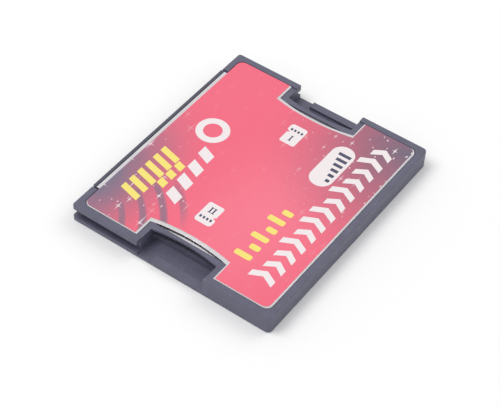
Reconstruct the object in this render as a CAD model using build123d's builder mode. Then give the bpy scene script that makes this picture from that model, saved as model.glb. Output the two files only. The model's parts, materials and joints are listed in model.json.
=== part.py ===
from build123d import *
import os

# Two-slot memory card adapter in the outline of a 50-contact plug-in card.
# X runs along the label's reading direction, Y towards the connector edge, Z up through the label.
# The origin is the centre of the card's underside. All sizes are in millimetres.

# Whole card
card_width = 42.80
card_length = 36.40
card_thickness = 3.30
front_corner_radius = 0.50
back_corner_radius = 0.80
edge_break = 0.12
# How far a cut runs past the face that it leaves through
over_run = 1.00

# Steel covers and the label
sheet = 0.20
cover_gap = 0.10
cover_side_rim = 1.28
cover_back_rim = 1.20
cover_front_rim = 1.17
cover_corner_radius = 1.10
tongue_side_step = 0.05
tongue_front_rim = 0.60
cover_edge_break = 0.06
tab_width = 2.40
tab_drop = 0.90
back_tab_count = 3
front_tab_width = 1.20
tab_clearance = 0.05
side_tab_inset = 4.90
back_tab_spacing = 12.00
front_tab_inset = 1.78
label_thickness = 0.08
label_inset = 0.10
label_back_inset = 0.27

# Finger notches in the two short sides, and the card mouths behind them
notch_y = -0.15
mouth_clearance = 0.275
web_end_width = 1.18
web_middle_width = 0.58
cover_notch_step = 1.00
cover_notch_end_strip = 1.00
cover_notch_middle_strip = 1.27
label_notch_side_strip = 0.28
label_notch_end_strip = 0.57
label_notch_middle_strip = 0.48
mouth_top = 2.75
mouth_bottom = 1.60
lip_top = 1.00
lip_width = 1.30
lip_length = 9.30
well_floor = 0.50
well_wall = 0.60
well_radius = 0.45
pocket_radius = 0.50

# Guide grooves, one tall and one low so that the card fits one way up
groove_depth = 1.01
tall_groove_height = 1.60
low_groove_height = 0.99

# Board and the bay that holds it
board_thickness = 0.60
board_bottom = 0.70
side_wall = 4.73
board_back_rim = 3.70
board_front_gap = 0.30
board_gap = 0.08
ledge_width = 0.75
peg_radius = 0.55
peg_clearance = 0.08
peg_inset = 1.60
peg_above_board = 0.30
pad_size = 2.80
pocket_outer_wall = 0.96
pocket_floor = 1.00
pocket_wall = 0.65
front_pocket_length = 4.00
back_pocket_length = 6.40
pocket_offset = 1.10

# Fifty-way connector
contact_end_wall = 1.05
contact_pitch = 1.27
row_spacing = 1.27
connector_end_gap = 0.33
connector_depth = 5.60
connector_gap = 0.05
ear_length = 1.70
ear_depth = 2.20
ear_setback = 4.90
ear_bottom = 0.95
hole_size = 0.56
hole_lead_in = 0.12
hole_wall = 0.95
cavity_width = 0.60
cavity_height = 0.92
contact_width = 0.46
contact_sheet = 0.14
contact_block = 0.80
contact_reach = 3.10
contact_tip_length = 0.70
contact_throat = 0.17
foot_length = 1.10
foot_thickness = 0.12

# Card sockets
socket_inner_x = 3.30
socket_base = 0.35
socket_wall = 0.95
socket_end_wall = 0.65
shell_sheet = 0.15
shell_clearance = 0.07
spring_count = 8
spring_pitch = 1.10
spring_width = 0.50
spring_slot = 0.62
spring_sheet = 0.10
spring_tail = 1.00
spring_root = 2.10
spring_peak = 3.90
spring_tip = 4.90
spring_rise = 0.38
spring_tip_rise = 0.16
detect_rise = 0.27
slot_end = 5.50
tunnel_height = 0.16
detect_gap = 1.20
detect_inset = 0.70
tongue_length = 3.60
tongue_strip = 1.40
tongue_slit = 0.30
tongue_dip = 0.22
tongue_spacing = 6.40
tongue_inset = 7.20
flange_width = 0.50
flange_length = 1.30

# Parts on the board
chip_size = 6.00
chip_height = 0.80
chip_inset = 4.10
chip_dot_radius = 0.25
chip_dot_inset = 0.75
chip_dot_depth = 0.06
chip_edge_break = 0.10
memory_length = 4.90
memory_width = 3.90
memory_height = 1.10
memory_inset = 6.60
regulator_length = 2.90
regulator_width = 1.60
regulator_height = 1.00
regulator_gap = 2.75
lead_pitch = 1.27
lead_count = 4
regulator_lead_offset = 0.95
lead_width = 0.40
lead_reach = 0.75
lead_thickness = 0.15
lead_bend = 0.25
lead_shoulder = 0.55
lead_slope = 0.06
crystal_length = 3.20
crystal_width = 2.50
crystal_height = 0.70
crystal_gap = 1.80
crystal_radius = 0.35
small_length = 1.00
small_width = 0.50
capacitor_height = 0.50
capacitor_count = 12
resistor_height = 0.35
resistor_columns = 2
resistor_rows = 7
small_pitch = 1.60
small_rows_inset = 2.90

# Worked out from the sizes above
half_width = card_width / 2
half_length = card_length / 2
middle_z = card_thickness / 2
cover_floor = card_thickness - sheet
cover_half_width = half_width - cover_side_rim
cover_back_y = -half_length + cover_back_rim
cover_front_y = half_length - cover_front_rim
tongue_front_y = half_length - tongue_front_rim
label_front_y = cover_front_y - label_inset
label_back_y = cover_back_y + label_back_inset
board_top = board_bottom + board_thickness
bay_half_width = half_width - side_wall
board_width = 2 * (bay_half_width - board_gap)
board_back_y = -half_length + board_back_rim
bay_back_y = board_back_y - board_gap
connector_half = bay_half_width - connector_end_gap
connector_back_y = half_length - connector_depth
ear_back_y = half_length - ear_setback
board_front_y = connector_back_y - board_front_gap
tongue_width = 2 * (connector_half - tongue_side_step)
contact_count = int(2 * (connector_half - contact_end_wall) / contact_pitch) + 1
card_floor = board_top + socket_base
shell_top = mouth_top + shell_clearance
shell_floor = shell_top - shell_sheet
detect_offset = (spring_count - 1) / 2 * spring_pitch + detect_gap
socket_width = 2 * (detect_offset + detect_inset + socket_wall)
opening_width = socket_width - 2 * socket_wall + 2 * mouth_clearance
opening_front_y = notch_y + opening_width / 2
opening_back_y = notch_y - opening_width / 2
socket_outer_x = bay_half_width - board_gap
tongue_x = socket_outer_x - tongue_inset
web_end_x = bay_half_width + web_end_width
web_middle_x = bay_half_width + web_middle_width
cover_notch_width = opening_width + 2 * cover_notch_step
cover_notch_corner_x = web_end_x - cover_notch_end_strip
cover_notch_middle_x = web_middle_x - cover_notch_middle_strip
label_notch_width = cover_notch_width + 2 * label_notch_side_strip
label_notch_corner_x = cover_notch_corner_x - label_notch_end_strip
label_notch_middle_x = cover_notch_middle_x - label_notch_middle_strip
groove_end_y = opening_back_y + lip_length
side_tab_y = cover_back_y + side_tab_inset
front_tab_x = cover_half_width - front_tab_inset
chip_y = board_back_y + chip_inset
memory_x = memory_inset - board_width / 2
crystal_x = chip_size / 2 + crystal_gap + crystal_length / 2
regulator_x = crystal_x + crystal_length / 2 + regulator_gap + regulator_length / 2
small_rows_y = board_front_y - small_rows_inset


def add_block(x_range, y_range, z_range, mode=Mode.ADD):
    """A plain block between two corners, joined to or cut from the part being built."""
    with BuildSketch(Plane.XY.offset(z_range[0])) as block_plan:
        with Locations((sum(x_range) / 2, sum(y_range) / 2)):
            Rectangle(abs(x_range[1] - x_range[0]), abs(y_range[1] - y_range[0]))
    extrude(block_plan.sketch, amount=z_range[1] - z_range[0], mode=mode)


def add_rounded_block(x_range, y_range, z_range, radius, mode=Mode.ADD):
    """A block with its upright corners rounded, joined to or cut from the part being built."""
    with BuildSketch(Plane.XY.offset(z_range[0])) as block_plan:
        with Locations((sum(x_range) / 2, sum(y_range) / 2)):
            RectangleRounded(abs(x_range[1] - x_range[0]), abs(y_range[1] - y_range[0]), radius)
    extrude(block_plan.sketch, amount=z_range[1] - z_range[0], mode=mode)


def add_cover_outline(growth):
    """The covers' plan: a rounded sheet with a tongue over the connector."""
    with BuildSketch() as sheet_outline:
        with Locations((0, (cover_front_y + cover_back_y) / 2)):
            RectangleRounded(
                2 * (cover_half_width + growth),
                cover_front_y - cover_back_y + 2 * growth,
                cover_corner_radius,
            )
    add(sheet_outline.sketch)
    with Locations((0, (tongue_front_y + growth) / 2)):
        Rectangle(tongue_width + 2 * growth, tongue_front_y + growth)


def add_notch(side, width, corner_x, middle_x, mode=Mode.SUBTRACT):
    """A finger notch from a short side inwards, closed by a shallow arc."""
    low_y = notch_y - width / 2
    high_y = notch_y + width / 2
    outer_x = half_width + over_run
    with BuildLine() as notch_edge:
        Polyline(
            (side * corner_x, low_y),
            (side * outer_x, low_y),
            (side * outer_x, high_y),
            (side * corner_x, high_y),
        )
        ThreePointArc(
            (side * corner_x, high_y), (side * middle_x, notch_y), (side * corner_x, low_y)
        )
    make_face(notch_edge.edges(), mode=mode)


def add_tabs(root_z, drop, growth, mode=Mode.ADD):
    """Folded tabs of a cover, or with growth and Mode.SUBTRACT the slots that take them."""
    across = sheet + 2 * growth
    along = tab_width + 2 * growth
    with BuildSketch(Plane.XY.offset(root_z)) as tab_plan:
        side_x = cover_half_width - sheet / 2
        with Locations((-side_x, side_tab_y), (side_x, side_tab_y)):
            Rectangle(across, along)
        with Locations((0, cover_back_y + sheet / 2)):
            with GridLocations(back_tab_spacing, 1, back_tab_count, 1):
                Rectangle(along, across)
        front_y = cover_front_y - sheet / 2
        with Locations((-front_tab_x, front_y), (front_tab_x, front_y)):
            Rectangle(front_tab_width + 2 * growth, across)
    extrude(tab_plan.sketch, amount=drop, mode=mode)


# Moulded frame with the finger wells, the card mouths and the guide grooves
with BuildPart() as frame:
    with BuildSketch() as frame_plan:
        Rectangle(card_width, card_length)
        fillet(frame_plan.vertices().group_by(Axis.Y)[0], back_corner_radius)
        fillet(frame_plan.vertices().group_by(Axis.Y)[-1], front_corner_radius)
    extrude(amount=card_thickness)
    chamfer(frame.faces().filter_by(Axis.Z).edges(), edge_break)
    for recess_z in (0, cover_floor):
        with BuildSketch(Plane.XY.offset(recess_z)):
            add_cover_outline(cover_gap)
        extrude(amount=sheet, mode=Mode.SUBTRACT)
    add_block(
        (-bay_half_width, bay_half_width),
        (bay_back_y, half_length + over_run),
        (board_bottom, card_thickness),
        Mode.SUBTRACT,
    )
    add_block(
        (ledge_width - bay_half_width, bay_half_width - ledge_width),
        (bay_back_y + ledge_width, half_length + over_run),
        (0, board_bottom),
        Mode.SUBTRACT,
    )
    add_block(
        (-bay_half_width, bay_half_width),
        (connector_back_y - connector_gap, half_length + over_run),
        (0, board_bottom),
        Mode.SUBTRACT,
    )
    for side in (-1, 1):
        # Corner pad and the peg that places the board
        pad_x = side * (bay_half_width - pad_size / 2)
        peg_x = side * (board_width / 2 - peg_inset)
        add_block(
            (pad_x - pad_size / 2, pad_x + pad_size / 2),
            (bay_back_y, bay_back_y + pad_size),
            (sheet, board_bottom),
        )
        with BuildSketch(Plane.XY.offset(board_bottom)):
            with Locations((peg_x, board_back_y + peg_inset)):
                Circle(peg_radius)
        extrude(amount=board_thickness + peg_above_board)
        # Pocket for the connector's ear
        add_block(
            (side * bay_half_width, side * (connector_half + ear_length + connector_gap)),
            (ear_back_y - connector_gap, ear_back_y + ear_depth + connector_gap),
            (ear_bottom, card_thickness),
            Mode.SUBTRACT,
        )
        # Card mouth under the web, through to the board bay
        add_block(
            (side * (bay_half_width - over_run), side * (half_width + over_run)),
            (opening_back_y, opening_front_y),
            (mouth_bottom, mouth_top),
            Mode.SUBTRACT,
        )
        # Open top of the well, outside the web
        with BuildSketch(Plane.XY.offset(lip_top)):
            add_notch(side, opening_width, web_end_x, web_middle_x, Mode.ADD)
        extrude(amount=card_thickness, mode=Mode.SUBTRACT)
        # Sunk floor of the well behind the lip, and the gap beside the lip
        add_rounded_block(
            (side * (bay_half_width + well_wall), side * (half_width - lip_width)),
            (opening_back_y, opening_front_y),
            (well_floor, mouth_bottom),
            well_radius,
            Mode.SUBTRACT,
        )
        add_block(
            (side * (half_width - 2 * lip_width), side * (half_width + over_run)),
            (opening_back_y + lip_length, opening_front_y),
            (well_floor, lip_top),
            Mode.SUBTRACT,
        )
        # Guide groove from the connector edge
        groove_height = tall_groove_height if side < 0 else low_groove_height
        add_block(
            (side * (half_width - groove_depth), side * (half_width + over_run)),
            (groove_end_y, half_length + over_run),
            (middle_z - groove_height / 2, middle_z + groove_height / 2),
            Mode.SUBTRACT,
        )
        # Moulding pockets in the thick side walls, under the cover
        pocket_inner = bay_half_width + pocket_wall
        pocket_outer = half_width - groove_depth - pocket_outer_wall
        notch_front_y = notch_y + cover_notch_width / 2
        notch_back_y = notch_y - cover_notch_width / 2
        for pocket_start, pocket_length in (
            (notch_front_y + pocket_offset, front_pocket_length),
            (notch_back_y - pocket_offset - back_pocket_length, back_pocket_length),
        ):
            add_rounded_block(
                (side * pocket_inner, side * pocket_outer),
                (pocket_start, pocket_start + pocket_length),
                (pocket_floor, card_thickness),
                pocket_radius,
                Mode.SUBTRACT,
            )
    add_tabs(cover_floor, -tab_drop, tab_clearance, Mode.SUBTRACT)
    add_tabs(sheet, tab_drop, tab_clearance, Mode.SUBTRACT)
frame.part.label = "frame"

# Pressed steel cover on the label side
with BuildPart() as top_cover:
    with BuildSketch(Plane.XY.offset(cover_floor)):
        add_cover_outline(0)
        for side in (-1, 1):
            add_notch(side, cover_notch_width, cover_notch_corner_x, cover_notch_middle_x)
    extrude(amount=sheet)
    chamfer(top_cover.faces().sort_by(Axis.Z)[-1].edges(), cover_edge_break)
    add_tabs(cover_floor, -tab_drop, 0)
top_cover.part.label = "top_cover"

# Pressed steel cover on the underside
with BuildPart() as bottom_cover:
    with BuildSketch():
        add_cover_outline(0)
    extrude(amount=sheet)
    chamfer(bottom_cover.faces().sort_by(Axis.Z)[0].edges(), cover_edge_break)
    add_tabs(sheet, tab_drop, 0)
bottom_cover.part.label = "bottom_cover"

# Printed label on the top cover
with BuildPart() as label:
    with BuildSketch(Plane.XY.offset(card_thickness)):
        with Locations((0, (label_front_y + label_back_y) / 2)):
            RectangleRounded(
                2 * (cover_half_width - label_inset),
                label_front_y - label_back_y,
                cover_corner_radius,
            )
        for side in (-1, 1):
            add_notch(side, label_notch_width, label_notch_corner_x, label_notch_middle_x)
    extrude(amount=label_thickness)
label.part.label = "label"

# Circuit board
with BuildPart() as circuit_board:
    add_block(
        (-board_width / 2, board_width / 2),
        (board_back_y, board_front_y),
        (board_bottom, board_top),
    )
    with BuildSketch(Plane.XY.offset(board_bottom)):
        peg_x = board_width / 2 - peg_inset
        with Locations((-peg_x, board_back_y + peg_inset), (peg_x, board_back_y + peg_inset)):
            Circle(peg_radius + peg_clearance)
    extrude(amount=board_thickness, mode=Mode.SUBTRACT)
circuit_board.part.label = "circuit_board"

# Connector housing with two rows of square contact holes, each with a tapered lead-in
with BuildPart() as connector_housing:
    add_block(
        (-connector_half, connector_half),
        (connector_back_y, half_length),
        (sheet, cover_floor),
    )
    add_block(
        (-connector_half, connector_half),
        (tongue_front_y + cover_gap, half_length),
        (0, card_thickness),
    )
    for side in (-1, 1):
        add_block(
            (side * connector_half, side * (connector_half + ear_length)),
            (ear_back_y, ear_back_y + ear_depth),
            (ear_bottom, cover_floor),
        )
    back_plane = Plane(origin=(0, connector_back_y, middle_z), x_dir=(-1, 0, 0), z_dir=(0, 1, 0))
    cavity_length = half_length - hole_wall - connector_back_y
    with BuildSketch(back_plane):
        with GridLocations(contact_pitch, row_spacing, contact_count, 2):
            Rectangle(cavity_width, cavity_height)
    extrude(amount=cavity_length, mode=Mode.SUBTRACT)
    with BuildSketch(back_plane.offset(cavity_length)):
        with GridLocations(contact_pitch, row_spacing, contact_count, 2):
            Rectangle(hole_size, hole_size)
    extrude(amount=hole_wall, mode=Mode.SUBTRACT)
    front_face = connector_housing.faces().filter_by(Axis.Y).sort_by(Axis.Y)[-1]
    chamfer(front_face.inner_wires().edges(), hole_lead_in)
connector_housing.part.label = "connector_housing"


def fork_contact(row_z, foot_low):
    """One connector contact: a fork for the pin, a block that holds it, and a foot on the board."""
    block_back = connector_back_y + contact_sheet
    block_front = block_back + contact_block
    tip = block_front + contact_reach
    throat = tip - contact_tip_length
    half_block = cavity_height / 2
    open_z = half_block - contact_sheet
    tip_z = (open_z + contact_throat) / 2
    half_tail = foot_thickness / 2
    leg_back = (board_front_y + connector_back_y) / 2 - half_tail
    leg_front = leg_back + foot_thickness
    foot_top = foot_low + foot_thickness
    foot_end = board_front_y - foot_length
    with BuildPart() as contact:
        with BuildSketch(Plane.YZ):
            with BuildLine():
                Polyline(
                    (block_back, row_z - half_block),
                    (block_front, row_z - half_block),
                    (throat, row_z - contact_throat - contact_sheet),
                    (tip, row_z - tip_z - contact_sheet),
                    (tip, row_z - tip_z),
                    (throat, row_z - contact_throat),
                    (block_front, row_z - open_z),
                    (block_front, row_z + open_z),
                    (throat, row_z + contact_throat),
                    (tip, row_z + tip_z),
                    (tip, row_z + tip_z + contact_sheet),
                    (throat, row_z + contact_throat + contact_sheet),
                    (block_front, row_z + half_block),
                    (block_back, row_z + half_block),
                    close=True,
                )
            make_face()
            with BuildLine():
                Polyline(
                    (block_back, row_z + half_tail),
                    (leg_back, row_z + half_tail),
                    (leg_back, foot_top),
                    (foot_end, foot_top),
                    (foot_end, foot_low),
                    (leg_front, foot_low),
                    (leg_front, row_z - half_tail),
                    (block_back, row_z - half_tail),
                    close=True,
                )
            make_face()
        extrude(amount=contact_width / 2, both=True)
    return contact.part


def contact_row(row_z, foot_low):
    """A full row of connector contacts, each a solid of its own."""
    one_contact = fork_contact(row_z, foot_low)
    with BuildPart() as row:
        with GridLocations(contact_pitch, 1, contact_count, 1):
            add(one_contact)
    return row.part


upper_contacts = contact_row(middle_z + row_spacing / 2, board_top)
upper_contacts.label = "connector_contacts_upper"
lower_contacts = contact_row(middle_z - row_spacing / 2, board_bottom - foot_thickness)
lower_contacts.label = "connector_contacts_lower"

spring_places = [notch_y + (i - (spring_count - 1) / 2) * spring_pitch for i in range(spring_count)]
detect_places = [notch_y - detect_offset, notch_y + detect_offset]

# Moulded body of a card socket
with BuildPart() as socket_body:
    low_y = notch_y - socket_width / 2
    high_y = notch_y + socket_width / 2
    add_block((socket_inner_x, socket_outer_x), (low_y, high_y), (board_top, shell_floor))
    add_block(
        (socket_inner_x + socket_end_wall, socket_outer_x),
        (low_y + socket_wall, high_y - socket_wall),
        (card_floor, shell_floor),
        Mode.SUBTRACT,
    )
    for slot_y in spring_places + detect_places:
        slot_range = (slot_y - spring_slot / 2, slot_y + spring_slot / 2)
        add_block(
            (socket_inner_x + socket_end_wall, socket_inner_x + slot_end),
            slot_range,
            (board_top, card_floor),
            Mode.SUBTRACT,
        )
        add_block(
            (socket_inner_x, socket_inner_x + socket_end_wall),
            slot_range,
            (board_top, board_top + tunnel_height),
            Mode.SUBTRACT,
        )

# Steel shell of a card socket, with two holding tongues and four solder flanges
with BuildPart() as socket_shell:
    outer_half = socket_width / 2 + shell_sheet
    add_block(
        (socket_inner_x, socket_outer_x),
        (notch_y - outer_half, notch_y + outer_half),
        (board_top, shell_top),
    )
    add_block(
        (socket_inner_x, socket_outer_x),
        (notch_y - socket_width / 2, notch_y + socket_width / 2),
        (board_top, shell_floor),
        Mode.SUBTRACT,
    )
    for tongue_y in (notch_y - tongue_spacing / 2, notch_y + tongue_spacing / 2):
        half_strip = tongue_strip / 2
        add_block(
            (tongue_x, tongue_x + tongue_length + tongue_slit),
            (tongue_y - half_strip - tongue_slit, tongue_y + half_strip + tongue_slit),
            (shell_floor, shell_top),
            Mode.SUBTRACT,
        )
        with BuildSketch(Plane.XZ.offset(half_strip - tongue_y)):
            with BuildLine():
                Polyline(
                    (tongue_x, shell_top),
                    (tongue_x + tongue_length, shell_top - tongue_dip),
                    (tongue_x + tongue_length, shell_floor - tongue_dip),
                    (tongue_x, shell_floor),
                    close=True,
                )
            make_face()
        extrude(amount=-tongue_strip)
    for flange_x in (socket_inner_x, socket_outer_x - flange_length):
        for side in (-1, 1):
            add_block(
                (flange_x, flange_x + flange_length),
                (notch_y + side * outer_half, notch_y + side * (outer_half + flange_width)),
                (board_top, board_top + shell_sheet),
            )


def spring_strip(spring_y, rise):
    """One sprung strip: it lies on the board, rises through its slot and turns down at the tip."""
    root = socket_inner_x + spring_root
    peak = socket_inner_x + spring_peak
    tip = socket_inner_x + spring_tip
    peak_z = card_floor + rise
    tip_z = card_floor + spring_tip_rise
    with BuildSketch(Plane.XZ.offset(spring_width / 2 - spring_y)) as strip_side:
        with BuildLine():
            Polyline(
                (socket_inner_x - spring_tail, board_top),
                (root, board_top),
                (peak, peak_z - spring_sheet),
                (tip, tip_z - spring_sheet),
                (tip, tip_z),
                (peak, peak_z),
                (root - spring_sheet / 2, board_top + spring_sheet),
                (socket_inner_x - spring_tail, board_top + spring_sheet),
                close=True,
            )
        make_face()
    extrude(strip_side.sketch, amount=-spring_width)


with BuildPart() as socket_springs:
    for spring_y in spring_places:
        spring_strip(spring_y, spring_rise)

with BuildPart() as socket_detect:
    for spring_y in detect_places:
        spring_strip(spring_y, detect_rise)


def place_socket_piece(piece, turn, name):
    """A socket piece in its place: slot 1 as drawn, slot 2 turned half round the notch centre."""
    spot = Location((0, 2 * notch_y if turn else 0, 0), (0, 0, turn))
    with BuildPart() as placed:
        with Locations(spot):
            add(piece.part)
    placed.part.label = name
    return placed.part


socket_parts = [
    place_socket_piece(piece, turn, f"socket_{number}_{name}")
    for number, turn in ((1, 0), (2, 180))
    for name, piece in (
        ("body", socket_body),
        ("shell", socket_shell),
        ("contacts", socket_springs),
        ("card_switch", socket_detect),
    )
]


def add_leads(width, places, reach_side):
    """Gull-wing leads on one long side of a chip body: out, sloping down, and flat on the board."""
    inner_y = width / 2
    knee_y = inner_y + lead_bend
    foot_y = inner_y + lead_reach
    shoulder_z = board_top + lead_shoulder
    lead_points = [
        (inner_y, shoulder_z),
        (knee_y + lead_thickness, shoulder_z),
        (knee_y + lead_thickness + lead_slope, board_top + lead_thickness),
        (foot_y, board_top + lead_thickness),
        (foot_y, board_top),
        (knee_y + lead_slope, board_top),
        (knee_y, shoulder_z - lead_thickness),
        (inner_y, shoulder_z - lead_thickness),
    ]
    with BuildSketch(Plane.YZ) as lead_side:
        with BuildLine():
            Polyline(*[(reach_side * y, z) for y, z in lead_points], close=True)
        make_face()
    one_lead = extrude(lead_side.sketch, amount=lead_width / 2, both=True, mode=Mode.PRIVATE)
    with Locations([(lead_x, 0, 0) for lead_x in places]):
        add(one_lead)


# Controller chip between the two card sockets and the back wall
with BuildPart() as controller_chip:
    add_block(
        (-chip_size / 2, chip_size / 2),
        (chip_y - chip_size / 2, chip_y + chip_size / 2),
        (board_top, board_top + chip_height),
    )
    chamfer(controller_chip.faces().sort_by(Axis.Z)[-1].edges(), chip_edge_break)
    dot_place = chip_size / 2 - chip_dot_inset
    with BuildSketch(Plane.XY.offset(board_top + chip_height)):
        with Locations((-dot_place, chip_y - dot_place)):
            Circle(chip_dot_radius)
    extrude(amount=-chip_dot_depth, mode=Mode.SUBTRACT)
controller_chip.part.label = "controller_chip"

# Parts with leads are drawn at the origin and then moved to their place
with BuildPart() as memory_body:
    add_block(
        (-memory_length / 2, memory_length / 2),
        (-memory_width / 2, memory_width / 2),
        (board_top + lead_thickness, board_top + memory_height),
    )
    chamfer(memory_body.faces().sort_by(Axis.Z)[-1].edges(), chip_edge_break)
    memory_leads = [(i - (lead_count - 1) / 2) * lead_pitch for i in range(lead_count)]
    for reach_side in (-1, 1):
        add_leads(memory_width, memory_leads, reach_side)
with BuildPart() as memory_chip:
    with Locations((memory_x, chip_y)):
        add(memory_body.part)
memory_chip.part.label = "memory_chip"

with BuildPart() as regulator_body:
    add_block(
        (-regulator_length / 2, regulator_length / 2),
        (-regulator_width / 2, regulator_width / 2),
        (board_top + lead_thickness, board_top + regulator_height),
    )
    chamfer(regulator_body.faces().sort_by(Axis.Z)[-1].edges(), chip_edge_break)
    add_leads(regulator_width, [-regulator_lead_offset, regulator_lead_offset], -1)
    add_leads(regulator_width, [0], 1)
with BuildPart() as voltage_regulator:
    with Locations((regulator_x, chip_y)):
        add(regulator_body.part)
voltage_regulator.part.label = "voltage_regulator"

# Crystal can
with BuildPart() as crystal:
    with BuildSketch(Plane.XY.offset(board_top)):
        with Locations((crystal_x, chip_y)):
            RectangleRounded(crystal_length, crystal_width, crystal_radius)
    extrude(amount=crystal_height)
    chamfer(crystal.faces().sort_by(Axis.Z)[-1].edges(), chip_edge_break)
crystal.part.label = "crystal"

# Small parts in rows between the sockets and the connector, and between the two sockets
with BuildPart() as capacitors:
    with BuildSketch(Plane.XY.offset(board_top)):
        with Locations((0, small_rows_y)):
            with GridLocations(small_pitch, 1, capacitor_count, 1):
                Rectangle(small_width, small_length)
    extrude(amount=capacitor_height)
capacitors.part.label = "capacitors"

with BuildPart() as resistors:
    with BuildSketch(Plane.XY.offset(board_top)):
        with Locations((0, notch_y)):
            with GridLocations(small_pitch, small_pitch, resistor_columns, resistor_rows):
                Rectangle(small_width, small_length)
    extrude(amount=resistor_height)
resistors.part.label = "resistors"

pieces = [
    frame.part,
    top_cover.part,
    bottom_cover.part,
    label.part,
    circuit_board.part,
    connector_housing.part,
    upper_contacts,
    lower_contacts,
    controller_chip.part,
    memory_chip.part,
    voltage_regulator.part,
    crystal.part,
    capacitors.part,
    resistors.part,
] + socket_parts

os.makedirs("parts", exist_ok=True)
for piece in pieces:
    export_step(piece, f"parts/{piece.label}.step")
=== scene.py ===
import json
import math

import bmesh
import bpy
from mathutils import Matrix, Vector


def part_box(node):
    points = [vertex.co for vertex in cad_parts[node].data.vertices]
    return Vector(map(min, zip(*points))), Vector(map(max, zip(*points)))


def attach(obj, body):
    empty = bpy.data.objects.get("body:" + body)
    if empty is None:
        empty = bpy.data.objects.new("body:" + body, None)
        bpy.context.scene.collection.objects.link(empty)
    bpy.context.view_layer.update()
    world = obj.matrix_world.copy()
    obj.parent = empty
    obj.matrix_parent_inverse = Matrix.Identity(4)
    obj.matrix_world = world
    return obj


# Looks of a flat two-slot memory card adapter. Lengths are in millimetres, and MM turns them into metres.
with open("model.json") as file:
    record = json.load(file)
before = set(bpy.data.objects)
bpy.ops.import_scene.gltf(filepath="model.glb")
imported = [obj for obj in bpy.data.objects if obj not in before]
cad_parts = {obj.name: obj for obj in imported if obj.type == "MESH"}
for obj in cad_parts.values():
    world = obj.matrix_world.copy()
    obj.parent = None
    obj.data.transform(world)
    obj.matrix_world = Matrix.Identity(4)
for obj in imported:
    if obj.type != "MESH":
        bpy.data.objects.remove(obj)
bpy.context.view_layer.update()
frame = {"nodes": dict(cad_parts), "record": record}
MM = 0.001

# The label's top and the ink on it, in metres: the ink's gap, its thickness, and how near two points are one
LABEL_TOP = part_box("label")[1].z
INK_LIFT = 0.003 * MM
INK_DEPTH = 0.004 * MM
SAME_PLACE = 0.0001 * MM

# Soft ovals on the label, each with its centre and its reach along X and Y. The bright oval is a painted
# highlight, a lighter pink where light falls; the dusk and plum ovals are printed colour
PAINTED_HIGHLIGHT_OVAL = ((-6, -6), (24, 15))
DUSK_OVAL = ((-14.0, 18.5), (23.5, 13.5))
PLUM_OVAL = ((21.0, -17.0), (29.5, 24.5))
PLUM_STRENGTH = 0.91

# Rings printed beside the notch on the -X side: their centre lies off the card, and they show inside an oval
RING_CENTRE = (-27.0, 21.0)
RING_SPACING = 3.1
RING_OVAL = ((-15.5, 8.5), (11.0, 8.5))
RING_STRENGTH = 0.80

# Glints on the label: the cell and the ray are lengths, and the waist is half a ray's thickness at its root
LARGE_GLINTS = dict(cell_mm=3.3, share=0.50, ray_mm=2.3, waist_mm=0.14, shift=(3.7, 2.59, 0))
SMALL_GLINTS = dict(cell_mm=1.5, share=0.30, ray_mm=0.40, waist_mm=0.13, shift=(11.3, 7.91, 0))
GLINT_LEAST_SIZE = 0.3
GLINT_Y_RAY = 0.55
GLINT_FADE = 0.8
GLINTS_IN_PINK = 0.08
GLINTS_MORE_IN_DARK = 1.7

# How evenly the dark corners lie, and how the film's gloss is smeared
CORNER_LEAST = 0.86
CORNER_UNEVEN = 0.36
FILM_ROUGHNESS = 0.24
FILM_SMEARS = 0.14

# Marks on moulded plastic: how light each is beside the plastic, and how strongly it shows
MOTTLE_DARK = 0.88
MOTTLE_LIGHT = 1.12
RUB_LIGHT = 1.7
RUB_SHOWS = 0.35
RUB_SMOOTHS = -0.10
DUST_LIGHT = 2.0
DUST_SHOWS = 0.40

# Rolling lines in steel: how many times longer than wide, how dark, and how much they roughen it
ROLLED_STRETCH = 14
ROLLED_DARK = 0.86
ROLLED_ROUGHENS = 0.16

# Colours as written, in sRGB
PINK_RED = (0.940, 0.397, 0.492)
BRIGHT_PINK = (0.960, 0.465, 0.550)
DUSK = (0.450, 0.425, 0.510)
PLUM = (0.375, 0.378, 0.455)
WHITE_INK = (0.965, 0.930, 0.935)
YELLOW_INK = (0.985, 0.91, 0.47)
DARK_INK = (0.27, 0.28, 0.38)
PAPER_EDGE = (0.93, 0.95, 0.92)
# The black plastic is lighter and bluer than bare black: its own dark grey with a painted haze laid into it
BLACK_PLASTIC_WITH_PAINTED_HAZE = (0.350, 0.350, 0.425)
CONNECTOR_BLACK = (0.280, 0.280, 0.340)
STEEL = (0.91, 0.90, 0.91)
GOLD = (0.86, 0.68, 0.38)
MASK_GREEN = (0.06, 0.30, 0.16)
WEAVE_GREEN = (0.09, 0.40, 0.22)
CAPACITOR_TAN = (0.62, 0.50, 0.38)
RESISTOR_BLACK = (0.16, 0.16, 0.18)


def linear(colour):
    """An sRGB colour as the linear values that a shader takes."""
    parts = [c / 12.92 if c <= 0.04045 else ((c + 0.055) / 1.055) ** 2.4 for c in colour]
    return (*parts, 1.0)


def shade(colour, factor):
    """The same colour, lighter or darker."""
    return tuple(min(1.0, c * factor) for c in colour)


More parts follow.
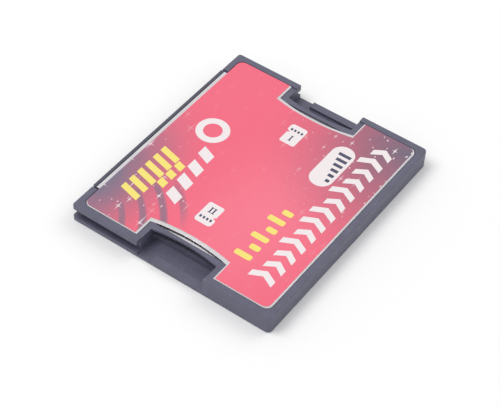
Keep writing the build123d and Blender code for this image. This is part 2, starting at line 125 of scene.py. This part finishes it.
class Graph:
    """One material and the nodes in it, with short calls for what is used often."""

    def __init__(self, name):
        self.material = bpy.data.materials.new(name)
        self.material.use_nodes = True
        self.tree = self.material.node_tree
        self.shader = self.tree.nodes["Principled BSDF"]
        self.coords = self.tree.nodes.new("ShaderNodeTexCoord").outputs["Object"]

    def put(self, socket, value):
        """Sets a socket to a value, or links it where the value is another socket."""
        if isinstance(value, bpy.types.NodeSocket):
            self.tree.links.new(value, socket)
        else:
            socket.default_value = value

    def surface(self, colour, roughness, metallic=0.0):
        """What the shader shows: its colour, how rough it is and whether it is metal."""
        self.put(self.shader.inputs["Base Color"], colour)
        self.put(self.shader.inputs["Roughness"], roughness)
        self.shader.inputs["Metallic"].default_value = metallic

    def math(self, operation, *inputs, clamp=False):
        node = self.tree.nodes.new("ShaderNodeMath")
        node.operation = operation
        node.use_clamp = clamp
        for socket, value in zip(node.inputs, inputs):
            self.put(socket, value)
        return node.outputs[0]

    def scaled(self, value, factor, offset=0.0, clamp=False):
        """The value times the factor, plus the offset."""
        return self.math("MULTIPLY_ADD", value, factor, offset, clamp=clamp)

    def vector(self, operation, *inputs):
        node = self.tree.nodes.new("ShaderNodeVectorMath")
        node.operation = operation
        for socket, value in zip(node.inputs, inputs):
            self.put(socket, value)
        return node.outputs[0]

    def split(self, vector):
        """A vector's X, Y and Z."""
        node = self.tree.nodes.new("ShaderNodeSeparateXYZ")
        self.put(node.inputs[0], vector)
        return node.outputs

    def smooth(self, value, start, end):
        """0 before start and 1 after end, with a soft step between."""
        node = self.tree.nodes.new("ShaderNodeMapRange")
        node.interpolation_type = "SMOOTHSTEP"
        self.put(node.inputs["Value"], value)
        node.inputs["From Min"].default_value = start
        node.inputs["From Max"].default_value = end
        return node.outputs["Result"]

    def mix(self, factor, first, second):
        node = self.tree.nodes.new("ShaderNodeMix")
        node.data_type = "RGBA"
        self.put(node.inputs["Factor"], factor)
        for socket, value in zip((node.inputs[6], node.inputs[7]), (first, second)):
            self.put(socket, value if isinstance(value, bpy.types.NodeSocket) else linear(value))
        return node.outputs[2]

    def noise(self, size_mm, detail, stretch=(1, 1, 1), roughness=0.5):
        """Noise whose features are about size_mm across, longer along the stretched axes."""
        scaling = self.tree.nodes.new("ShaderNodeMapping")
        self.put(scaling.inputs["Vector"], self.coords)
        scaling.inputs["Scale"].default_value = [1 / (MM * s) for s in stretch]
        node = self.tree.nodes.new("ShaderNodeTexNoise")
        self.put(node.inputs["Vector"], scaling.outputs["Vector"])
        node.inputs["Scale"].default_value = 1 / size_mm
        node.inputs["Detail"].default_value = detail
        node.inputs["Roughness"].default_value = roughness
        return node.outputs["Fac"]

    def bump(self, height, depth_mm):
        node = self.tree.nodes.new("ShaderNodeBump")
        node.inputs["Distance"].default_value = depth_mm * MM
        self.put(node.inputs["Height"], height)
        self.put(self.shader.inputs["Normal"], node.outputs["Normal"])

    def place(self):
        """The point's X and Y on the card, in millimetres."""
        here = self.split(self.coords)
        return [self.math("DIVIDE", here[axis], MM) for axis in ("X", "Y")]

    def facing_up(self):
        """1 on faces that look up, 0 on upright ones."""
        geometry = self.tree.nodes.new("ShaderNodeNewGeometry")
        normal = self.split(geometry.outputs["True Normal"])
        return self.smooth(normal["Z"], start=0.4, end=0.6)


def moulded_plastic(name, colour, grain_mm, grain_depth_mm, roughness):
    """Moulded plastic: spark-eroded grain, faint mottling, paler rubbed patches and specks of dust."""
    graph = Graph(name)
    mottle = graph.noise(size_mm=2.6, detail=4.0)
    rubbed = graph.smooth(graph.noise(size_mm=0.9, detail=6.0, roughness=0.7), start=0.60, end=0.78)
    dust = graph.smooth(graph.noise(size_mm=0.20, detail=1.0), start=0.70, end=0.77)
    body = graph.mix(mottle, shade(colour, MOTTLE_DARK), shade(colour, MOTTLE_LIGHT))
    body = graph.mix(graph.scaled(rubbed, RUB_SHOWS), body, shade(colour, RUB_LIGHT))
    body = graph.mix(graph.scaled(dust, DUST_SHOWS), body, shade(colour, DUST_LIGHT))
    graph.surface(body, graph.scaled(rubbed, RUB_SMOOTHS, roughness))
    graph.bump(graph.noise(grain_mm, detail=2.0), grain_depth_mm)
    return graph.material


def pressed_steel(name, along, roughness):
    """Rolled stainless sheet: fine lines along one axis and a soft variation between them."""
    graph = Graph(name)
    stretch = (ROLLED_STRETCH, 1, 1) if along == "X" else (1, ROLLED_STRETCH, 1)
    lines = graph.noise(size_mm=0.05, detail=3.0, stretch=stretch)
    cloud = graph.noise(size_mm=3.0, detail=3.0)
    sheet = graph.mix(graph.math("MULTIPLY", lines, cloud), shade(STEEL, ROLLED_DARK), STEEL)
    graph.surface(sheet, graph.scaled(lines, ROLLED_ROUGHENS, roughness), metallic=1.0)
    graph.bump(lines, depth_mm=0.002)
    return graph.material


def gold_plate():
    """Thin gold plating over contact strip, with duller patches."""
    graph = Graph("gold_plate")
    worn = graph.noise(size_mm=0.35, detail=4.0)
    graph.surface(graph.mix(worn, shade(GOLD, 0.80), GOLD), graph.scaled(worn, 0.2, 0.2), metallic=1.0)
    return graph.material


def solder_mask():
    """Green mask over a woven board, with the weave just showing through."""
    graph = Graph("solder_mask")
    weave = graph.noise(size_mm=0.25, detail=2.0)
    graph.surface(graph.mix(weave, MASK_GREEN, WEAVE_GREEN), roughness=0.32)
    graph.bump(weave, depth_mm=0.006)
    return graph.material


def fired_ceramic(name, colour):
    """Small fired parts: a plain body with tiny dark grains."""
    graph = Graph(name)
    grains = graph.smooth(graph.noise(size_mm=0.07, detail=5.0), start=0.55, end=0.70)
    graph.surface(graph.mix(grains, colour, shade(colour, 0.75)), roughness=0.4)
    return graph.material


def spot(graph, x, y, oval):
    """A soft oval field: 1 at the centre, falling evenly to 0 at its reach."""
    centre, reach = oval
    u = graph.math("DIVIDE", graph.math("SUBTRACT", x, centre[0]), reach[0])
    v = graph.math("DIVIDE", graph.math("SUBTRACT", y, centre[1]), reach[1])
    squares = graph.math("MULTIPLY_ADD", u, u, graph.math("MULTIPLY", v, v))
    return graph.smooth(graph.math("SQRT", squares), start=1.0, end=0.0)


def rings(graph, x, y):
    """Even rings round their centre: 1 in the middle of each and 0 half way between two."""
    dx = graph.math("SUBTRACT", x, RING_CENTRE[0])
    dy = graph.math("SUBTRACT", y, RING_CENTRE[1])
    distance = graph.math("SQRT", graph.math("MULTIPLY_ADD", dx, dx, graph.math("MULTIPLY", dy, dy)))
    turns = graph.scaled(distance, 2 * math.pi / RING_SPACING)
    return graph.scaled(graph.math("SINE", turns), 0.5, 0.5)


def glints(graph, cell_mm, share, ray_mm, waist_mm, shift):
    """Small four-pointed glints, longer along X, one at most in each cell, on a share of the cells."""
    per_cell = 1 / (MM * cell_mm)
    shifted = graph.vector("MULTIPLY_ADD", graph.coords, (per_cell, per_cell, 0), shift)
    cells = graph.tree.nodes.new("ShaderNodeTexVoronoi")
    cells.voronoi_dimensions = "2D"
    cells.inputs["Scale"].default_value = 1.0
    graph.put(cells.inputs["Vector"], shifted)
    away = graph.split(graph.vector("SUBTRACT", shifted, cells.outputs["Position"]))
    dx = graph.math("ABSOLUTE", graph.scaled(away["X"], cell_mm))
    dy = graph.math("ABSOLUTE", graph.scaled(away["Y"], cell_mm))
    chance = graph.tree.nodes.new("ShaderNodeSeparateColor")
    graph.put(chance.inputs[0], cells.outputs["Color"])
    size = graph.scaled(chance.outputs["Green"], 1 - GLINT_LEAST_SIZE, GLINT_LEAST_SIZE)
    rays = []
    for long_way, short_way, reach in ((dx, dy, ray_mm), (dy, dx, ray_mm * GLINT_Y_RAY)):
        along = graph.math("DIVIDE", long_way, graph.scaled(size, reach))
        across = graph.math("DIVIDE", short_way, waist_mm)
        rays.append(graph.math("SUBTRACT", graph.math("SUBTRACT", 1.0, along), across, clamp=True))
    star = graph.math("POWER", graph.math("MAXIMUM", *rays), GLINT_FADE)
    shown = graph.math("LESS_THAN", chance.outputs["Red"], share)
    return graph.math("MULTIPLY", star, shown)


def dark_corners(graph, x, y):
    """How far the field is darkened at one corner by the connector edge, and at the corner across from it."""
    uneven = graph.scaled(graph.noise(size_mm=4.0, detail=4.0), CORNER_UNEVEN, CORNER_LEAST)
    connector_corner = spot(graph, x, y, DUSK_OVAL)
    far_corner = graph.scaled(spot(graph, x, y, PLUM_OVAL), PLUM_STRENGTH)
    return [graph.math("MULTIPLY", corner, uneven, clamp=True) for corner in (connector_corner, far_corner)]


def printed_film():
    """The label: a pink-red field with a painted highlight, two dark corners, rings and small glints, under
    gloss.
    """
    graph = Graph("printed_film")
    x, y = graph.place()
    # Painted highlight: the pink grows lighter towards the middle of the bright oval
    field = graph.mix(spot(graph, x, y, PAINTED_HIGHLIGHT_OVAL), PINK_RED, BRIGHT_PINK)
    connector_corner, far_corner = dark_corners(graph, x, y)
    ring = graph.smooth(rings(graph, x, y), start=0.45, end=0.95)
    ring_shown = graph.smooth(spot(graph, x, y, RING_OVAL), start=0.05, end=0.60)
    ring_share = graph.scaled(graph.math("MULTIPLY", ring, ring_shown), RING_STRENGTH)
    dusky = graph.math("MAXIMUM", connector_corner, ring_share)
    field = graph.mix(dusky, field, DUSK)
    field = graph.mix(far_corner, field, PLUM)
    # Glints, strong where the field is dark and faint elsewhere
    darkened = graph.math("MAXIMUM", dusky, far_corner)
    strength = graph.scaled(darkened, GLINTS_MORE_IN_DARK, GLINTS_IN_PINK)
    both_sizes = graph.math("MAXIMUM", glints(graph, **LARGE_GLINTS), glints(graph, **SMALL_GLINTS))
    field = graph.mix(graph.math("MULTIPLY", both_sizes, strength, clamp=True), field, WHITE_INK)
    # Print grain, dust, and the pale paper that shows at the cut edge
    grain = graph.noise(size_mm=0.12, detail=2.0)
    speckle = graph.scaled(graph.math("SUBTRACT", grain, 0.42), 0.35, clamp=True)
    field = graph.mix(speckle, field, BRIGHT_PINK)
    dust = graph.smooth(graph.noise(size_mm=0.16, detail=1.0), start=0.76, end=0.80)
    field = graph.mix(graph.scaled(dust, 0.6), field, WHITE_INK)
    field = graph.mix(graph.facing_up(), PAPER_EDGE, field)
    smears = graph.noise(size_mm=6.0, detail=4.0, stretch=(1, 3, 1))
    graph.surface(field, graph.scaled(smears, FILM_SMEARS, FILM_ROUGHNESS))
    graph.bump(graph.noise(size_mm=0.8, detail=2.0), depth_mm=0.0015)
    return graph.material


def ink(name, colour):
    """Printed ink under the same gloss as the film, with a slight grain."""
    graph = Graph(name)
    grain = graph.noise(size_mm=0.10, detail=2.0)
    graph.surface(graph.mix(grain, shade(colour, 0.95), colour), roughness=0.30)
    return graph.material


print_white = ink("ink_white", WHITE_INK)
print_yellow = ink("ink_yellow", YELLOW_INK)
print_dark = ink("ink_dark", DARK_INK)


def printed(name, outlines, material, centre, tilt=0.0, level=0):
    """Flat printed shapes: closed lists of points, each turned by the tilt and set at the centre."""
    turn = Matrix.Rotation(math.radians(tilt), 3, "Z")
    low = LABEL_TOP + INK_LIFT + level * INK_DEPTH
    shape = bmesh.new()
    for outline in outlines:
        places = [turn @ Vector((*point, 0)) + Vector((*centre, 0)) for point in outline]
        shape.faces.new([shape.verts.new((place.x * MM, place.y * MM, low)) for place in places])
    # Outlines that share an edge become one shape before it is raised
    bmesh.ops.remove_doubles(shape, verts=shape.verts[:], dist=SAME_PLACE)
    raised = bmesh.ops.extrude_face_region(shape, geom=shape.faces[:])
    for item in raised["geom"]:
        if isinstance(item, bmesh.types.BMVert):
            item.co.z += INK_DEPTH
    bmesh.ops.recalc_face_normals(shape, faces=shape.faces[:])
    mesh = bpy.data.meshes.new(name)
    shape.to_mesh(mesh)
    shape.free()
    mesh.materials.append(material)
    piece = bpy.data.objects.new(name, mesh)
    bpy.context.scene.collection.objects.link(piece)
    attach(piece, "root")


def row(count, step_x, step_y=0, start=(0, 0)):
    """Places in a straight row, each a step from the one before."""
    return [(start[0] + step_x * i, start[1] + step_y * i) for i in range(count)]


def arc(centre, radius, start, end, steps=10):
    """Points along a round stretch, angles in degrees."""
    angles = [math.radians(start + (end - start) * i / steps) for i in range(steps + 1)]
    return [(centre[0] + radius * math.cos(a), centre[1] + radius * math.sin(a)) for a in angles]


def flat_ring(outer, inner, steps=48):
    """A ring between two radii, as a chain of four-sided outlines that share their ends."""
    outside = arc((0, 0), outer, 0, 360, steps)
    inside = arc((0, 0), inner, 0, 360, steps)
    return [[outside[i], outside[i + 1], inside[i + 1], inside[i]] for i in range(steps)]


def rounded_bar(length, width, radius, middle=(0, 0)):
    """A bar with rounded corners, its length along X."""
    half_l = length / 2 - radius
    half_w = width / 2 - radius
    mx, my = middle
    points = []
    for side_x, side_y, start in ((1, 1, 0), (-1, 1, 90), (-1, -1, 180), (1, -1, 270)):
        points += arc((mx + side_x * half_l, my + side_y * half_w), radius, start, start + 90)
    return points


def slanted_bar(length, height, slant, middle):
    """A bar whose upper edge stands further towards +X than its lower edge, by the slant."""
    mx, my = middle
    lean = slant / 2
    return [
        (mx - length / 2 - lean, my - height / 2),
        (mx + length / 2 - lean, my - height / 2),
        (mx + length / 2 + lean, my + height / 2),
        (mx - length / 2 + lean, my + height / 2),
    ]


def chevron(width, height, thickness, middle):
    """An arrowhead that points towards +X."""
    mx, my = middle
    left = mx - width / 2
    return [
        (left, my - height / 2),
        (left + thickness, my - height / 2),
        (left + width, my),
        (left + thickness, my + height / 2),
        (left, my + height / 2),
        (left + width - thickness, my),
    ]


# A small card's silhouette, narrow end towards +X, with its side notch on the -Y side
MARK_LENGTH = 4.35
MARK_WIDTH = 3.05
MARK_RADIUS = 0.35
MARK_WIDE_RADIUS = 1.6 * MARK_RADIUS
MARK_STEP = 0.26
MARK_NOTCH = 0.30

# Along X: where the wide end stops, the notch starts and stops, and the narrow end's side starts
MARK_WIDE_STOP = -0.78
MARK_NOTCH_START = -0.50
MARK_NOTCH_STOP = -0.22
MARK_NARROW_START = -0.16


def card_outline():
    half_l = MARK_LENGTH / 2
    half_w = MARK_WIDTH / 2
    narrow = half_w - MARK_STEP
    r = MARK_RADIUS
    wide_r = MARK_WIDE_RADIUS
    return (
        arc((half_l - r, -narrow + r), r, -90, 0)
        + arc((half_l - r, half_w - r), r, 0, 90)
        + arc((-half_l + wide_r, half_w - wide_r), wide_r, 90, 180)
        + arc((-half_l + wide_r, -half_w + wide_r), wide_r, 180, 270)
        + [
            (MARK_WIDE_STOP, -half_w),
            (MARK_NOTCH_START, -half_w + MARK_NOTCH),
            (MARK_NOTCH_START, -narrow + MARK_NOTCH),
            (MARK_NOTCH_STOP, -narrow + MARK_NOTCH),
            (MARK_NARROW_START, -narrow),
        ]
    )


def numeral(strokes, height, middle):
    """A plain slot numeral that stands along X: strokes with a serif at both ends of each."""
    mx, my = middle
    pitch = height * 0.50
    half_height = height * 0.50
    serif_start = height * 0.40
    half_serif = height * 0.21
    half_stroke = height * 0.10
    side = [
        (half_height, half_serif),
        (serif_start, half_serif),
        (serif_start, half_stroke),
        (-serif_start, half_stroke),
        (-serif_start, half_serif),
        (-half_height, half_serif),
    ]
    corners = side + [(-x, -y) for x, y in side]
    shapes = []
    for i in range(strokes):
        across = my + (i - (strokes - 1) / 2) * pitch
        shapes.append([(mx + x, across + y) for x, y in corners])
    return shapes


def print_card_marks():
    """The two slot marks, each with its slot numeral and a row of small plain squares beside it."""
    for number, centre, tilt in ((2, (-10.45, 0.57), 0), (1, (10.98, 0.30), 180)):
        printed(f"slot_mark_{number}", [card_outline()], print_white, centre, tilt)
        marks = numeral(strokes=number, height=1.20, middle=(0.80, 0.10))
        squares = [
            slanted_bar(length=0.50, height=0.36, slant=0.08, middle=place)
            for place in row(4, step_x=0, step_y=-0.62, start=(-1.02, 0.98))
        ]
        printed(f"slot_numeral_{number}", marks + squares, print_dark, centre, tilt, level=1)


def print_lower_lines():
    """A row of arrowheads along the lower edge, a pill with rising bars, and a yellow row beside it."""
    tall = 4.1
    short = 3.3
    heights = (tall, short, short, tall, short, tall, tall, short, tall, short, short, tall, short)
    pitch = 2.62
    foot = -14.82
    arrowheads = []
    for i, height in enumerate(heights):
        middle = ((i - (len(heights) - 1) / 2) * pitch, foot + height / 2)
        arrowheads.append(chevron(width=2.25, height=height, thickness=1.20, middle=middle))
    printed("title_row", arrowheads, print_white, centre=(0.30, 0))

    pill_centre = (9.10, -8.35)
    printed("pill", [rounded_bar(length=9.75, width=3.95, radius=1.95)], print_white, pill_centre)
    lowest = 0.70
    rise = 0.30
    rising = [
        slanted_bar(length=0.62, height=lowest + rise * i, slant=0.0, middle=place)
        for i, place in enumerate(row(6, step_x=1.22, step_y=rise / 2, start=(-3.05, -1.10)))
    ]
    printed("pill_bars", rising, print_dark, pill_centre, level=1)

    yellow = [
        rounded_bar(length=1.05, width=height, radius=0.32, middle=(x, foot_y + height / 2))
        for (x, foot_y), height in zip(row(6, step_x=2.12), (2.95, 1.75) * 3)
    ]
    printed("yellow_row", yellow, print_yellow, centre=(-13.85, -9.50))


def print_upper_lines():
    """Yellow slanted bars in two rows, white slanted blocks and a white ring near the connector edge."""
    bars = [slanted_bar(length=1.15, height=3.6, slant=0.9, middle=place) for place in row(6, step_x=1.95)]
    printed("upper_bars", bars, print_yellow, centre=(-13.95, 12.90))
    short_bars = [
        slanted_bar(length=1.35, height=1.5, slant=0.4, middle=place) for place in row(3, step_x=2.15)
    ]
    printed("upper_short_bars", short_bars, print_yellow, centre=(-9.60, 10.20))
    blocks = [
        slanted_bar(length=1.9, height=2.5, slant=1.0, middle=place)
        for place in row(4, step_x=3.25, step_y=0.42)
    ]
    printed("upper_blocks", blocks, print_white, centre=(-10.60, 7.20))
    printed("upper_ring", flat_ring(outer=2.75, inner=1.55), print_white, centre=(4.10, 10.85))


print_card_marks()
print_lower_lines()
print_upper_lines()

# Finishes of the carried-over pieces. A plastic's numbers are its grain's size and depth, and its roughness.
finishes = {
    "black_plastic": moulded_plastic("black_plastic_grain", BLACK_PLASTIC_WITH_PAINTED_HAZE, 0.10, 0.006, 0.46),
    "connector_plastic": moulded_plastic("connector_plastic_grain", CONNECTOR_BLACK, 0.08, 0.004, 0.42),
    "socket_plastic": moulded_plastic("socket_plastic_grain", CONNECTOR_BLACK, 0.08, 0.004, 0.5),
    "chip_resin": moulded_plastic("chip_resin_grain", CONNECTOR_BLACK, 0.06, 0.004, 0.55),
    "cover_steel": pressed_steel("cover_steel_rolled", along="X", roughness=0.30),
    "shell_steel": pressed_steel("shell_steel_rolled", along="Y", roughness=0.26),
    "label_film": printed_film(),
    "contact_metal": gold_plate(),
    "board_laminate": solder_mask(),
    "capacitor_body": fired_ceramic("capacitor_fired", CAPACITOR_TAN),
    "resistor_body": fired_ceramic("resistor_fired", RESISTOR_BLACK),
}
for subpart in frame["record"]["subparts"]:
    part = frame["nodes"][subpart["node"]]
    part.data.materials.clear()
    part.data.materials.append(finishes[subpart["material_slot"]])


# Half the floor's side and its colour in linear values, and how strongly the world lights the card
FLOOR_HALF = 6000
FLOOR_WHITE = (0.98, 0.98, 0.98, 1)
WORLD_LIGHT = 0.57


def pale_floor():
    """A plain pale floor that takes the card's shadow."""
    half = FLOOR_HALF * MM
    corners = [(-half, -half, 0), (half, -half, 0), (half, half, 0), (-half, half, 0)]
    mesh = bpy.data.meshes.new("floor")
    mesh.from_pydata(corners, [], [(0, 1, 2, 3)])
    floor = bpy.data.objects.new("floor", mesh)
    bpy.context.scene.collection.objects.link(floor)
    material = bpy.data.materials.new("pale_floor")
    material.use_nodes = True
    shader = material.node_tree.nodes["Principled BSDF"]
    shader.inputs["Base Color"].default_value = FLOOR_WHITE
    shader.inputs["Roughness"].default_value = 0.8
    mesh.materials.append(material)


def soft_light(name, place, size, watts):
    """A square soft lamp that looks at the card."""
    data = bpy.data.lights.new(name, "AREA")
    data.shape = "SQUARE"
    data.size = size * MM
    data.energy = watts
    lamp = bpy.data.objects.new(name, data)
    lamp.location = Vector(place) * MM
    lamp.rotation_euler = (-Vector(place)).to_track_quat("-Z", "Y").to_euler()
    bpy.context.scene.collection.objects.link(lamp)


def studio():
    """A world that is white to the camera and in gloss, and lights the card less, with two soft lamps."""
    world = bpy.data.worlds.new("studio")
    world.use_nodes = True
    tree = world.node_tree
    background = tree.nodes["Background"]
    background.inputs["Color"].default_value = (1, 1, 1, 1)
    rays = tree.nodes.new("ShaderNodeLightPath")
    plain = tree.nodes.new("ShaderNodeMath")
    plain.operation = "MAXIMUM"
    tree.links.new(rays.outputs["Is Camera Ray"], plain.inputs[0])
    tree.links.new(rays.outputs["Is Glossy Ray"], plain.inputs[1])
    level = tree.nodes.new("ShaderNodeMapRange")
    level.inputs["To Min"].default_value = WORLD_LIGHT
    level.inputs["To Max"].default_value = 1.0
    tree.links.new(plain.outputs[0], level.inputs["Value"])
    tree.links.new(level.outputs["Result"], background.inputs["Strength"])
    bpy.context.scene.world = world
    soft_light("key", place=(-250, 350, 750), size=500, watts=3.25)
    soft_light("fill", place=(550, -300, 600), size=600, watts=1.4)


# Camera at the photograph's angle: its place, the directions that it looks and holds up, its lens and sensor
CAMERA_PLACE = (-141.43, -92.87, 179.50)
CAMERA_FORWARD = (0.56763, 0.37441, -0.73322)
CAMERA_UP = (0.58077, 0.44914, 0.67895)
CAMERA_LENS = 115.0
CAMERA_SENSOR = 36.0
CAMERA_NEAREST = 5


def photo_camera():
    data = bpy.data.cameras.new("camera")
    data.lens = CAMERA_LENS
    data.sensor_fit = "HORIZONTAL"
    data.sensor_width = CAMERA_SENSOR
    data.clip_start = CAMERA_NEAREST * MM
    camera = bpy.data.objects.new("camera", data)
    forward = Vector(CAMERA_FORWARD).normalized()
    up = Vector(CAMERA_UP)
    up = (up - forward * up.dot(forward)).normalized()
    right = forward.cross(up)
    turned = Matrix([(right[axis], up[axis], -forward[axis]) for axis in range(3)]).to_4x4()
    camera.matrix_world = Matrix.Translation(Vector(CAMERA_PLACE) * MM) @ turned
    bpy.context.scene.collection.objects.link(camera)
    bpy.context.scene.camera = camera


pale_floor()
studio()
photo_camera()
bpy.context.scene.view_settings.view_transform = "Standard"
